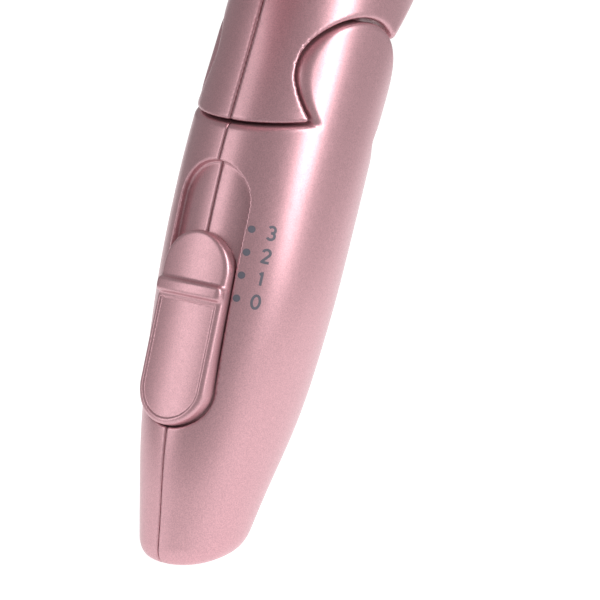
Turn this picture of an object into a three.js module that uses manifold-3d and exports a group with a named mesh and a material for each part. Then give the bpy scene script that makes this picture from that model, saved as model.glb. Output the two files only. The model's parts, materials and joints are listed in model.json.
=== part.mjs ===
// Folding hair dryer with a slide switch on the back of its handle.
// Millimetres. +X is the way the air leaves, +Z is up, Y = 0 is the parting plane of the shells.
// The model is worked out around the fold hinge, and the last lines move its origin to the centre
// of the base.

import * as THREE from "three";
import { mergeVertices } from "three/addons/utils/BufferGeometryUtils.js";
import Module from "manifold-3d";

const wasm = await Module();
wasm.setup();

// ---- Driving dimensions --------------------------------------------------------------------

// Grip: the handle and the neck share one outline along a leaning axis.
const gripLean = THREE.MathUtils.degToRad(19); // the handle's foot lies behind its hinge
const gripLength = 110; // hinge axis to the middle of the end face
const gripDepth = 21.8; // half depth at the hinge, front to back
const gripWidth = 19.2; // half width at the hinge, side to side
const footDepth = 12.2; // half depth at the end face
const footWidth = 10.4; // half width at the end face
const gripAhead = 1.7; // the grip's middle is this far in front of the hinge axis
const gripBow = 4.2; // how far the lower handle falls behind the neck's line
const gripBowLength = 28;
const gripSquareness = 2.15; // exponent of the section: 2 is an ellipse
const footRadius = 3;
const wall = 2.2;
const partingGap = 0.3; // between the two halves of a shell

// Fold hinge.
const earRadius = 15.1; // round lug on each side of the handle
const earGap = 0.8; // between the lug and the neck's rounded cut-out
const tongueHalfWidth = 7.6; // the neck's drum between the lugs
const tongueGap = 0.5;
const tongueRadius = 14.3;
const neckEdge = -5.2; // height of the neck's lower edge at the back, from the hinge axis
const edgeGap = 0.7; // between the neck's edge and the handle
const foldStop = THREE.MathUtils.degToRad(32); // direction of the neck's front edge, above +X
const foldTravel = THREE.MathUtils.degToRad(96); // free angle between the front edges
const axleRadius = 2.5;
const axleReach = 13.6; // half length of the axle
const runningGap = 0.3;
const washerRadius = 7.5;
const washerThickness = 0.8;

// Slide switch on the back of the handle.
const recessTop = 22.2; // along the handle from the hinge axis
const recessDepth = 1.9;
const recessHalfWidth = 9.3;
const knobLength = 44.0;
const knobGap = 0.35; // all round the knob
const switchTravel = 15.6; // three steps
const switchSteps = 3;
const knobRise = 1.1; // crown above the handle
const knobCrown = 38; // radius of the knob's crown
const ridgeDown = 13.3; // middle of the finger ridge below the knob's top
const ridgeHeight = 3.3;
const ridgeRise = 1.3;
const stemHalfWidth = 2.2;
const stemHalfLength = 4;
const recessFloor = 1.6; // thickness of the shell behind the recess
const carrierDrop = 2.8; // slide carrier behind the recess floor's inner face
const carrierThickness = 1.5;
const moduleDrop = 6.3; // switch module behind the same face
const moduleDepth = 6;
const moduleHalfWidth = 6;
const boardThickness = 1.6;
const boardHalfWidth = 8.5;
const boardTop = 26; // ends of the circuit board along the handle, from the hinge axis
const boardFoot = 84;

// Barrel.
const barrelHeight = 72; // barrel axis above the hinge axis
const barrelRadius = 38;
const barrelRearRadius = 35;
const barrelFrontRadius = 29;
const barrelRear = -56; // ends of the shell along X, from the hinge axis
const barrelFront = 92;
const barrelBelly = -14; // where the barrel is widest
const barrelWall = 2.2;
const seatGap = 0.35; // between a fitted piece and its seat

const intakeDepth = 15;
const intakeRim = 2.4;
const intakeRings = 4;
const intakeSpokes = 6;
const outletDepth = 13;
const outletRadius = 27;
const ductWall = 1.5;
const ductLength = 42;
const ductVanes = 6;
const fanTipGap = 1;
const fanDepth = 12;
const fanHub = 9;
const fanBlades = 7;
const bladePitch = 38; // degrees from the fan's plane
const motorRadius = 13.5;
const motorLength = 24;
const shaftRadius = 1.2;
const bearingGap = 0.05;
const heaterLength = 54;
const boardHalf = 19; // half width of the crossed mica boards
const micaThickness = 0.8;
const heaterTurns = 6;
const heaterWire = 0.6;
const sleeveRadius = 24.5;
const sleeveWall = 0.7;
const cordHole = 3.2; // radius of the cord's way in through the gland
const glandRadius = 5.2;
const glandLip = 1.4;
const glandLength = 9;

const screwRadius = 1.5;
const screwHead = 2.8;
const screwLength = 12;
const bossRadius = 3.4;

// ---- Helpers -------------------------------------------------------------------------------

// A closed three.js geometry as a solid that can be joined and cut.
function solid(geometry) {
  const bare = geometry.clone();
  bare.deleteAttribute("normal");
  bare.deleteAttribute("uv");
  const merged = mergeVertices(bare, 1e-4);
  return new wasm.Manifold(
    new wasm.Mesh({
      numProp: 3,
      vertProperties: merged.attributes.position.array,
      triVerts: new Uint32Array(merged.index.array),
    }),
  );
}

function geometryOf(body) {
  const mesh = body.getMesh();
  const points = new Float32Array(mesh.numVert * 3);
  for (let i = 0; i < mesh.numVert; i++) {
    points.set(mesh.vertProperties.subarray(i * mesh.numProp, i * mesh.numProp + 3), i * 3);
  }
  const geometry = new THREE.BufferGeometry();
  geometry.setAttribute("position", new THREE.BufferAttribute(points, 3));
  geometry.setIndex(new THREE.BufferAttribute(new Uint32Array(mesh.triVerts), 1));
  geometry.computeVertexNormals();
  return geometry;
}

function box(x0, x1, y0, y1, z0, z1) {
  const geometry = new THREE.BoxGeometry(x1 - x0, y1 - y0, z1 - z0);
  return solid(geometry.translate((x0 + x1) / 2, (y0 + y1) / 2, (z0 + z1) / 2));
}

// Cylinders along X, Y and Z, from their first coordinate to their second.
function rodX(radius, x0, x1, y = 0, z = 0, sides = 24) {
  const geometry = new THREE.CylinderGeometry(radius, radius, x1 - x0, sides);
  return solid(geometry.rotateZ(-Math.PI / 2).translate((x0 + x1) / 2, y, z));
}

function rodY(radius, y0, y1, x = 0, z = 0, sides = 24) {
  const geometry = new THREE.CylinderGeometry(radius, radius, y1 - y0, sides);
  return solid(geometry.translate(x, (y0 + y1) / 2, z));
}

function rodZ(radius, z0, z1, x = 0, y = 0, sides = 24) {
  const geometry = new THREE.CylinderGeometry(radius, radius, z1 - z0, sides);
  return solid(geometry.rotateX(Math.PI / 2).translate(x, y, (z0 + z1) / 2));
}

// A profile of (radius, x) pairs turned about the X axis.
function turned(profile, sides = 40) {
  const points = profile.map(([radius, x]) => new THREE.Vector2(radius, x));
  const geometry = new THREE.LatheGeometry(points, sides);
  const body = solid(geometry.rotateZ(-Math.PI / 2));
  return body.volume() < 0 ? solid(geometry.scale(1, 1, -1)) : body;
}

function tubeX(outer, inner, x0, x1, sides = 36) {
  return rodX(outer, x0, x1, 0, 0, sides).subtract(rodX(inner, x0 - 1, x1 + 1, 0, 0, sides));
}

// A wedge of the X-Z plane between two directions seen from -Y, as thick as the whole dryer.
function sector(from, to, reach = 300) {
  const shape = new THREE.Shape();
  shape.moveTo(0, 0);
  const steps = 12;
  for (let i = 0; i <= steps; i++) {
    const angle = from + ((to - from) * i) / steps;
    shape.lineTo(reach * Math.cos(angle), reach * Math.sin(angle));
  }
  const geometry = new THREE.ExtrudeGeometry(shape, { depth: 200, bevelEnabled: false });
  return solid(geometry.translate(0, 0, -100).rotateX(Math.PI / 2));
}

// Everything on one side of the parting plane: 1 is the +Y side and -1 the -Y side.
function sideSpace(side) {
  const near = partingGap / 2;
  return side > 0 ? box(-400, 400, near, 200, -400, 400) : box(-400, 400, -200, -near, -400, 400);
}

// From the handle's own frame, whose Z runs up the handle, to the dryer's.
function leaned(body) {
  return body.rotate([0, THREE.MathUtils.radToDeg(gripLean), 0]);
}

// ---- Grip outline --------------------------------------------------------------------------

// Half depth, half width and distance down the handle, from inside the barrel to the end face.
const gripStations = new THREE.CatmullRomCurve3(
  [
    [gripDepth + 1.6, gripWidth + 0.6, -52],
    [gripDepth + 0.8, gripWidth - 0.3, -24],
    [gripDepth, gripWidth, 0],
    [gripDepth + 0.3, gripWidth + 0.2, gripLength * 0.25],
    [gripDepth - 0.5, gripWidth - 0.3, gripLength * 0.46],
    [(gripDepth * 3 + footDepth) / 4, (gripWidth * 3 + footWidth) / 4 - 1.6, gripLength * 0.725],
    [footDepth + 2.6, footWidth + 2.1, gripLength * 0.89],
    [footDepth, footWidth, gripLength],
  ].map((station) => new THREE.Vector3(...station)),
  false,
  "centripetal",
);

// Half depth and half width at a distance down from the hinge.
function gripSection(down) {
  let low = 0;
  let high = 1;
  while (high - low > 1e-5) {
    const middle = (low + high) / 2;
    if (gripStations.getPoint(middle).z < down) low = middle;
    else high = middle;
  }
  const station = gripStations.getPoint(low);
  return { depth: station.x, width: station.y };
}

// Middle of the section, in front of the handle's own axis.
function gripMiddle(down) {
  if (down < 0) return gripAhead - (down * gripBow) / gripBowLength;
  return gripAhead - gripBow * (1 - Math.exp(-down / gripBowLength));
}

// Where the back of the grip lies in the handle's own frame.
function gripBack(down) {
  return gripMiddle(down) - gripSection(down).depth;
}

// The end face is level, while the sections above it are square to the handle.
function gripTilt(down) {
  return Math.tan(gripLean) * THREE.MathUtils.smoothstep(down, gripLength * 0.6, gripLength * 0.95);
}

// The grip's outline moved in by an inset, with a rounded end, in the handle's own frame.
function gripBody(inset, sides = 28, rows = 12, turns = 2) {
  const radius = Math.max(footRadius - inset, 0.6);
  const straightEnd = gripLength - inset - radius;
  const top = gripStations.getPoint(0).z;
  const rings = [];
  for (let i = 0; i <= rows; i++) {
    rings.push({ down: top + ((straightEnd - top) * i) / rows, inset });
  }
  for (let i = 1; i <= turns; i++) {
    const turn = (i / turns) * (Math.PI / 2);
    rings.push({
      down: straightEnd + radius * Math.sin(turn),
      inset: inset + radius * (1 - Math.cos(turn)),
    });
  }
  rings.forEach((ring) => Object.assign(ring, gripSection(ring.down)));
  const geometry = new THREE.CylinderGeometry(1, 1, 1, sides, rings.length - 1);
  const point = geometry.attributes.position;
  const power = 2 / gripSquareness;
  for (let i = 0; i < point.count; i++) {
    const ring = rings[Math.round((0.5 - point.getY(i)) * (rings.length - 1))];
    const out = Math.hypot(point.getX(i), point.getZ(i)) < 0.5 ? 0 : 1;
    const angle = Math.atan2(-point.getZ(i), point.getX(i));
    const across = Math.sign(Math.cos(angle)) * Math.abs(Math.cos(angle)) ** power;
    const side = Math.sign(Math.sin(angle)) * Math.abs(Math.sin(angle)) ** power;
    const x = out * (ring.depth - ring.inset) * across;
    const y = out * (ring.width - ring.inset) * side;
    point.setXYZ(i, gripMiddle(ring.down) + x, y, gripTilt(ring.down) * x - ring.down);
  }
  return solid(geometry);
}

// ---- Slide switch --------------------------------------------------------------------------

const recessLength = knobLength + 2 * knobGap + switchTravel;
const recessMiddle = recessTop + recessLength / 2;
const knobMiddle = recessTop + recessLength - knobGap - knobLength / 2; // down the handle, at OFF
const knobFace = gripBack(recessMiddle) - knobRise; // highest line of the knob's crown
const switchFace = gripBack(recessMiddle) + recessDepth + recessFloor;
const carrierBack = switchFace + carrierDrop;
const moduleFront = switchFace + moduleDrop;
const boardFront = moduleFront + moduleDepth + seatGap;

// A bar with round ends, along the handle, between two depths.
function stadium(halfWidth, length, down, from, to) {
  const straight = length / 2 - halfWidth;
  const shape = new THREE.Shape();
  shape.moveTo(halfWidth, -straight);
  shape.lineTo(halfWidth, straight);
  shape.absarc(0, straight, halfWidth, 0, Math.PI);
  shape.lineTo(-halfWidth, -straight);
  shape.absarc(0, -straight, halfWidth, Math.PI, 2 * Math.PI);
  const extrusion = { depth: to - from, bevelEnabled: false, curveSegments: 8 };
  const geometry = new THREE.ExtrudeGeometry(shape, extrusion);
  // The outline's X and Y become the dryer's Y and Z, and it is extruded towards +X.
  geometry.rotateX(Math.PI / 2).rotateZ(Math.PI / 2);
  return solid(geometry.translate(from, 0, -down));
}

function switchKnob() {
  const crown = rodZ(knobCrown, -gripLength - 20, 20, knobFace + knobCrown, 0, 60);
  const blank = stadium(recessHalfWidth - knobGap, knobLength, knobMiddle, -60, 0);
  let knob = blank.intersect(crown);
  // The underside clears the curved floor at every step of its travel.
  const floor = gripBody(recessDepth - knobGap);
  for (let step = 0; step <= switchSteps; step++) {
    knob = knob.subtract(floor.translate([0, 0, (-switchTravel * step) / switchSteps]));
  }
  const ridgeMiddle = knobMiddle - knobLength / 2 + ridgeDown;
  const ridgeCrown = rodZ(knobCrown + ridgeRise, -200, 20, knobFace + knobCrown, 0, 60);
  const ridge = blank
    .intersect(ridgeCrown)
    .intersect(box(-60, knobFace + 3, -20, 20, -ridgeMiddle - ridgeHeight / 2, -ridgeMiddle + ridgeHeight / 2))
    .subtract(rodZ(knobCrown - 0.6, -200, 20, knobFace + knobCrown, 0, 96));
  const stem = box(
    knobFace + 1,
    moduleFront + 1.8,
    -stemHalfWidth,
    stemHalfWidth,
    -knobMiddle - stemHalfLength,
    -knobMiddle + stemHalfLength,
  );
  return leaned(knob.add(ridge).add(stem));
}

function slideCarrier() {
  const plate = stadium(5.5, 26, knobMiddle, carrierBack, carrierBack + carrierThickness);
  return leaned(plate.subtract(stemSlot(0)));
}

// Room for the stem, along a travel, right through the handle's back.
function stemSlot(travel) {
  return box(
    -60,
    moduleFront + 2.4,
    -stemHalfWidth - knobGap,
    stemHalfWidth + knobGap,
    -knobMiddle - stemHalfLength - knobGap,
    -knobMiddle + stemHalfLength + knobGap + travel,
  );
}

function switchModule() {
  const slotMiddle = knobMiddle - switchTravel / 2;
  const half = switchTravel / 2 + stemHalfLength + 3;
  const back = moduleFront + moduleDepth;
  const block = box(moduleFront, back, -moduleHalfWidth, moduleHalfWidth, -slotMiddle - half, -slotMiddle + half);
  return leaned(block.subtract(stemSlot(switchTravel)));
}

function circuitBoard() {
  const back = boardFront + boardThickness;
  return leaned(box(boardFront, back, -boardHalfWidth, boardHalfWidth, -boardFoot, -boardTop));
}

function capacitor() {
  const front = boardFront + boardThickness + seatGap;
  return leaned(box(front, front + 6.5, -5, 5, -60, -46));
}

function diode() {
  const front = boardFront + boardThickness + seatGap;
  return leaned(rodZ(1.6, -78, -70, front + 1.6, 0, 16));
}

// ---- Handle --------------------------------------------------------------------------------

const earInner = tongueHalfWidth + tongueGap;
const handleScrews = [
  { x: 8.5, down: 40 },
  { x: 3.2, down: 97 },
];

// The two lugs of the handle, or the room that the neck leaves for them.
function lugs(radius, inner) {
  return rodY(radius, -60, 60, 0, 0, 48).subtract(box(-60, 60, -inner, inner, -60, 60));
}

function handleRoom() {
  const below = box(-200, 200, -60, 60, -300, neckEdge - edgeGap);
  const front = sector(foldStop - foldTravel, THREE.MathUtils.degToRad(20));
  const drum = rodY(tongueRadius + tongueGap, -earInner, earInner, 0, 0, 48);
  return below.subtract(front).subtract(drum).add(lugs(earRadius, earInner));
}

function handleCavity() {
  const top = tongueRadius + tongueGap + wall;
  const inner = gripBody(wall, 20, 8, 1).intersect(box(-60, 60, -60, 60, -300, -top));
  const behindRecess = stadium(recessHalfWidth + 1.5, recessLength + 3, recessMiddle, -60, -2);
  return inner.subtract(behindRecess.subtract(gripBody(recessDepth + recessFloor, 20, 8, 1)));
}

// A screw boss across the shells, the room for its screw, and the screw, along Y.
function boss(x, z) {
  return rodY(bossRadius, -40, 40, x, z, 14);
}

function screwRoom(x, z) {
  const shank = rodY(screwRadius + seatGap, -screwLength * 0.6 - seatGap, 5, x, z, 12);
  return shank.add(rodY(screwHead + seatGap, 4.6, 60, x, z, 16));
}

function screw(x, z) {
  const head = rodY(screwHead, 5, 6.8, x, z, 16);
  const slot = box(x - 0.4, x + 0.4, 6.1, 8, z - 2, z + 2).add(box(x - 2, x + 2, 6.1, 8, z - 0.4, z + 0.4));
  return head.subtract(slot).add(rodY(screwRadius, -screwLength * 0.6, 5.4, x, z, 12));
}

function glandSeat() {
  const x = gripMiddle(gripLength);
  return { x, y: 0, z: -gripLength };
}

// A body made along -Z from the middle of the end face, square to that face.
function atFoot(body) {
  const seat = glandSeat();
  return leaned(body.rotate([0, -THREE.MathUtils.radToDeg(gripLean), 0]).translate([seat.x, seat.y, seat.z]));
}

function cordGland() {
  const neck = rodZ(glandRadius - glandLip, seatGap, glandLength, 0, 0, 20);
  const flange = rodZ(glandRadius, seatGap, glandLip + seatGap, 0, 0, 20);
  const collar = rodZ(glandRadius, wall + 2 * seatGap, wall + 2 * seatGap + glandLip, 0, 0, 20);
  return atFoot(neck.add(flange).add(collar).subtract(rodZ(cordHole, -2, glandLength + 1, 0, 0, 20)));
}

function glandRoom() {
  const hole = rodZ(glandRadius - glandLip + seatGap, -6, wall + 6, 0, 0, 20);
  return atFoot(hole.add(rodZ(glandRadius + seatGap, -6, glandLip + 2 * seatGap, 0, 0, 20)));
}

function wireWay() {
  return leaned(box(-5, 5, -3.5, 3.5, -24, 4));
}

let handleWhole;

function handleShell(side) {
  if (!handleWhole) {
    const recess = stadium(recessHalfWidth, recessLength, recessMiddle, -60, -2).subtract(gripBody(recessDepth));
    let cavity = handleCavity();
    for (const { x, down } of handleScrews) cavity = cavity.subtract(boss(x, -down));
    let shell = gripBody(0).subtract(cavity).subtract(recess).subtract(stemSlot(switchTravel));
    for (const { x, down } of handleScrews) shell = shell.subtract(screwRoom(x, -down));
    handleWhole = leaned(shell)
      .intersect(handleRoom())
      .subtract(glandRoom())
      .subtract(wireWay())
      .subtract(rodY(axleRadius + runningGap, -axleReach - runningGap, axleReach + runningGap, 0, 0, 24))
      .subtract(rodY(washerRadius + runningGap, -earInner - washerThickness, earInner + washerThickness, 0, 0, 24));
  }
  return handleWhole.intersect(sideSpace(side));
}

// ---- Fold hinge ----------------------------------------------------------------------------

function hingeAxle() {
  return rodY(axleRadius, -axleReach, axleReach, 0, 0, 20);
}

// Sits between the drum and a lug, in the lug's counterbore.
function hingeWasher(side) {
  const inner = tongueHalfWidth + 0.3;
  const outer = inner + washerThickness;
  const ring = rodY(washerRadius, inner, outer, 0, 0, 24).subtract(rodY(axleRadius + 0.3, 0, 20, 0, 0, 24));
  return side > 0 ? ring : ring.rotate([0, 0, 180]);
}

// ---- Barrel and neck -----------------------------------------------------------------------

const barrelOutline = new THREE.SplineCurve([
  new THREE.Vector2(barrelRear, barrelRearRadius),
  new THREE.Vector2(barrelBelly, barrelRadius),
  new THREE.Vector2((barrelBelly + barrelFront) / 2, (barrelRadius + barrelFrontRadius) / 2 + 1.2),
  new THREE.Vector2(barrelFront, barrelFrontRadius),
]);

// The barrel's outline moved in by an inset, reaching past both ends by an overrun.
function barrelBody(inset, overrun = 0, sides = 36, stations = 7) {
  const points = barrelOutline.getPoints(stations).map((p) => [p.y - inset, p.x]);
  const first = points[0];
  const last = points[points.length - 1];
  if (overrun > 0) {
    points.unshift([first[0], first[1] - overrun]);
    points.push([last[0], last[1] + overrun]);
  }
  const closed = [[0, points[0][1]], ...points, [0, points[points.length - 1][1]]];
  return turned(closed, sides).translate([0, 0, barrelHeight]);
}

const ductOuter = barrelRearRadius - barrelWall - seatGap;
const ductInner = ductOuter - ductWall;
const ductRear = barrelRear + 6;
const motorRear = ductRear + fanDepth + 6;
const heaterRear = motorRear + motorLength + 4;
const outletWall = barrelFrontRadius - outletRadius;
const bodyScrews = [
  { x: 14, z: 26 },
  { x: heaterRear + heaterLength + 10, z: barrelHeight - 22 },
];

function onBarrel(body) {
  return body.translate([0, 0, barrelHeight]);
}

function neckRoom() {
  const above = box(-200, 200, -60, 60, neckEdge, 300);
  const front = sector(THREE.MathUtils.degToRad(-40), foldStop);
  return above.subtract(front);
}

let bodyWhole;

function bodyShell(side) {
  if (!bodyWhole) {
    const lugRoom = lugs(earRadius + earGap, tongueHalfWidth);
    const grip = leaned(gripBody(0)).intersect(neckRoom()).subtract(lugRoom);
    const drum = rodY(tongueRadius, -tongueHalfWidth, tongueHalfWidth, 0, 0, 48);
    const neckInner = leaned(gripBody(wall, 20, 8, 1))
      .intersect(box(-200, 200, -60, 60, earRadius * 0.4, barrelHeight))
      .subtract(rodY(earRadius + earGap + wall, -60, 60, 0, 0, 48))
      .subtract(sector(THREE.MathUtils.degToRad(-40), foldStop).translate([0, 0, wall * 1.3]));
    const ribs = [heaterRear + 6, heaterRear + heaterLength - 8].map((x) =>
      onBarrel(tubeX(barrelRadius, sleeveRadius + seatGap, x, x + 2, 24)),
    );
    let air = barrelBody(barrelWall, 1, 24, 5);
    for (const rib of ribs) air = air.subtract(rib);
    let cavity = neckInner.add(air);
    for (const { x, z } of bodyScrews) cavity = cavity.subtract(boss(x, z));
    let shell = grip.add(drum).add(barrelBody(0)).subtract(cavity);
    for (const { x, z } of bodyScrews) shell = shell.subtract(screwRoom(x, z));
    bodyWhole = shell
      .subtract(rodY(axleRadius + runningGap, -40, 40, 0, 0, 24))
      .subtract(leaned(box(-4, 4, -3.5, 3.5, -tongueRadius - 1, earRadius + earGap + wall + 4)));
  }
  return bodyWhole.intersect(sideSpace(side));
}

function intakeGrille() {
  const front = barrelRear - seatGap;
  const rear = front - intakeDepth;
  const rim = barrelRearRadius;
  const outer = turned([
    [0, front],
    [rim, front],
    [rim - 0.6, front - 4],
    [rim - 3, front - 9],
    [rim - 8, rear + 1],
    [rim - 10, rear],
    [0, rear],
  ], 30);
  const inner = turned([
    [0, front + 1],
    [rim - intakeRim, front + 1],
    [rim - intakeRim - 0.6, front - 4],
    [rim - intakeRim - 3.4, front - 9],
    [rim - intakeRim - 9, rear + intakeRim],
    [0, rear + intakeRim],
  ], 30);
  const spigot = tubeX(ductOuter, ductOuter - intakeRim, front - 3, front + 4, 30);
  let slots = tubeX(6, 4, rear - 1, rear + intakeRim + 3, 18);
  const step = (rim - 12 - 6) / (intakeRings - 1);
  for (let i = 1; i < intakeRings; i++) {
    const radius = 6 + step * i;
    slots = slots.add(tubeX(radius, radius - 2.4, rear - 1, rear + intakeRim + 3, 40));
  }
  for (let i = 0; i < intakeSpokes; i++) {
    const spoke = box(rear - 5, rear + 10, -0.9, 0.9, 0, rim);
    slots = slots.subtract(spoke.rotate([(360 / intakeSpokes) * i, 0, 0]));
  }
  let sideSlots = null;
  const count = intakeSpokes * 2;
  for (let i = 0; i < count; i++) {
    const slot = box(rear + 4, front - 4, -1.3, 1.3, rim - 14, rim + 5);
    const turnedSlot = slot.rotate([(360 / count) * (i + 0.5), 0, 0]);
    sideSlots = sideSlots ? sideSlots.add(turnedSlot) : turnedSlot;
  }
  return onBarrel(outer.subtract(inner).add(spigot).subtract(slots).subtract(sideSlots));
}

// Fine screen behind the grille: a rim with a lattice of bars.
function intakeFilter() {
  const at = barrelRear + 4.2;
  const rim = tubeX(ductOuter - 0.6, ductOuter - 3, at, at + 1.2, 32);
  const disc = rodX(ductOuter - 1.5, at - 1, at + 3, 0, 0, 24);
  let lattice = null;
  const bars = 5;
  for (let i = 0; i < bars; i++) {
    const place = ((i + 0.5) / bars - 0.5) * 2 * ductOuter;
    const bar = box(at + 0.2, at + 0.9, place - 0.35, place + 0.35, -60, 60).add(
      box(at + 0.2, at + 0.9, -60, 60, place - 0.35, place + 0.35),
    );
    lattice = lattice ? lattice.add(bar) : bar;
  }
  return onBarrel(rim.add(lattice.intersect(disc)));
}

function fanImpeller() {
  const from = ductRear + 1;
  const to = from + fanDepth;
  const tip = ductInner - fanTipGap;
  const room = rodX(tip, from, to, 0, 0, 28);
  let fan = turned([
    [0, from],
    [fanHub * 0.6, from],
    [fanHub, from + 4],
    [fanHub, to],
    [0, to],
  ], 21);
  for (let i = 0; i < fanBlades; i++) {
    const geometry = new THREE.BoxGeometry(1.1, fanDepth * 1.35, tip + 4, 1, 1, 3);
    const point = geometry.attributes.position;
    for (let j = 0; j < point.count; j++) {
      const radius = point.getZ(j) + (tip + 4) / 2;
      const pitch = THREE.MathUtils.degToRad(90 - bladePitch - 14 * (1 - radius / tip));
      const x = point.getX(j) * Math.cos(pitch) + point.getY(j) * Math.sin(pitch);
      const y = point.getY(j) * Math.cos(pitch) - point.getX(j) * Math.sin(pitch);
      point.setXYZ(j, x + (from + to) / 2, y, radius);
    }
    const reach = rodX(fanHub * 0.7, from - 9, to + 9, 0, 0, 14);
    const blade = solid(geometry).subtract(reach).intersect(box(from - 9, to + 9, -60, 60, 0, 60));
    fan = fan.add(blade.intersect(room).rotate([(360 / fanBlades) * i, 0, 0]));
  }
  return onBarrel(fan.subtract(rodX(shaftRadius + bearingGap, from - 1, to + 1, 0, 0, 24)));
}

function motorShaft() {
  return onBarrel(rodX(shaftRadius, ductRear + 2, motorRear + motorLength + 2, 0, 0, 24));
}

function motor() {
  const to = motorRear + motorLength;
  const can = turned([
    [0, motorRear],
    [motorRadius - 1.5, motorRear],
    [motorRadius, motorRear + 1.5],
    [motorRadius, to - 1.5],
    [motorRadius - 1.5, to],
    [0, to],
  ], 28);
  const bearing = rodX(4, motorRear - 2, to + 1.5, 0, 0, 24);
  return onBarrel(can.add(bearing).subtract(rodX(shaftRadius + bearingGap, motorRear - 9, to + 9, 0, 0, 24)));
}

// Tube that seats in the shells, with vanes that carry the motor's cup.
function fanDuct() {
  const to = ductRear + ductLength;
  const cupFrom = motorRear + 2;
  const cup = tubeX(motorRadius + seatGap + 1.4, motorRadius + seatGap, cupFrom, to, 28);
  let duct = tubeX(ductOuter, ductInner, ductRear, to, 40).add(cup);
  for (let i = 0; i < ductVanes; i++) {
    const vane = box(cupFrom + 1, to - 1, -0.8, 0.8, motorRadius + seatGap + 0.7, ductInner + 0.5);
    duct = duct.add(vane.rotate([(360 / ductVanes) * i, 0, 0]));
  }
  return onBarrel(duct);
}

// Two crossed mica boards with wider ends that touch the sleeve.
function heaterFrame() {
  const to = heaterRear + heaterLength;
  const half = micaThickness / 2;
  const edge = sleeveRadius - sleeveWall - seatGap;
  const board = box(heaterRear, to, -half, half, -boardHalf, boardHalf)
    .add(box(heaterRear, heaterRear + 3, -half, half, -edge, edge))
    .add(box(to - 3, to, -half, half, -edge, edge));
  const cross = board.add(board.rotate([90, 0, 0]));
  return onBarrel(cross.subtract(cutoutRoom()).subtract(fuseRoom()));
}

// A resistance wire wound round the boards.
function heaterCoil() {
  const from = heaterRear + 6;
  const length = heaterLength - 12;
  const stepsPerTurn = 16;
  // The chords between the helix's steps stay clear of the boards too.
  const radius = (boardHalf + seatGap + heaterWire) / Math.cos(Math.PI / stepsPerTurn);
  class Helix extends THREE.Curve {
    getPoint(t, target = new THREE.Vector3()) {
      const angle = t * heaterTurns * 2 * Math.PI;
      return target.set(from + t * length, radius * Math.cos(angle), radius * Math.sin(angle));
    }
  }
  const ring = new THREE.Shape().absarc(0, 0, heaterWire, 0, 2 * Math.PI);
  const geometry = new THREE.ExtrudeGeometry(ring, {
    steps: heaterTurns * stepsPerTurn,
    extrudePath: new Helix(),
    bevelEnabled: false,
    curveSegments: 2,
  });
  const coil = solid(geometry);
  return onBarrel(coil.volume() < 0 ? coil.mirror([0, 1, 0]) : coil);
}

function heaterSleeve() {
  return onBarrel(tubeX(sleeveRadius, sleeveRadius - sleeveWall, heaterRear - 1, heaterRear + heaterLength + 1, 36));
}

// Bimetal cut-out and one-shot fuse, both carried by the boards.
function cutoutRoom() {
  return box(heaterRear + 33, heaterRear + 46, 2, 10, -3.4, 3.4);
}

function thermalCutout() {
  const body = box(heaterRear + 33.4, heaterRear + 45.6, 2.4, 8.6, -3, 3);
  return onBarrel(body.add(rodY(2.2, 8, 9.6, heaterRear + 39.5, 0, 20)));
}

function fuseRoom() {
  return box(heaterRear + 12, heaterRear + 25, -9, -5, -2, 2);
}

function thermalFuse() {
  return onBarrel(rodX(1.6, heaterRear + 12.4, heaterRear + 24.6, -7, 0, 16));
}

function outletRing() {
  const from = barrelFront + seatGap;
  const to = from + outletDepth;
  const bore = barrelFrontRadius - barrelWall - seatGap - outletWall;
  const ring = turned([
    [bore, from],
    [barrelFrontRadius, from],
    [barrelFrontRadius - 0.3, to - 1],
    [barrelFrontRadius - 1.3, to],
    [bore, to],
    [bore, from],
  ], 32);
  const spigot = tubeX(barrelFrontRadius - barrelWall - seatGap, bore, from - 6, from + 1, 32);
  const seat = tubeX(bore + 0.5, bore - 1.6, from - 3, from - 1, 32);
  return onBarrel(ring.add(spigot).add(seat));
}

function outletGrille() {
  const at = barrelFront;
  const edge = barrelFrontRadius - barrelWall - 2 * seatGap - outletWall;
  let grille = tubeX(edge, edge - 1.4, at, at + 3, 36).add(rodX(4, at, at + 2.4, 0, 0, 18));
  for (const share of [0.38, 0.68]) {
    grille = grille.add(tubeX(edge * share + 0.6, edge * share - 0.6, at, at + 2.4, 24));
  }
  for (let i = 0; i < 6; i++) {
    grille = grille.add(box(at, at + 2.4, -0.6, 0.6, 2, edge - 0.5).rotate([60 * i, 0, 0]));
  }
  return onBarrel(grille);
}

// ---- Materials and assembly ----------------------------------------------------------------

function finish(color, roughness, metalness) {
  return new THREE.MeshStandardMaterial({ color, roughness, metalness });
}

const pearl = finish(0xcf9aa2, 0.38, 0.35);
const rose = finish(0xc48a94, 0.35, 0.4);
const dark = finish(0x2a2a2c, 0.6, 0);
const white = finish(0xe6e2da, 0.55, 0);
const steel = finish(0xb4b6b8, 0.3, 1);
const mica = finish(0xc9b48a, 0.6, 0.1);
const wire = finish(0x8d8f94, 0.4, 1);
const green = finish(0x2f6b46, 0.5, 0);
const amber = finish(0xb5822f, 0.5, 0);

function part(name, body, material) {
  const mesh = new THREE.Mesh(geometryOf(body), material);
  mesh.name = name;
  return mesh;
}

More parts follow.
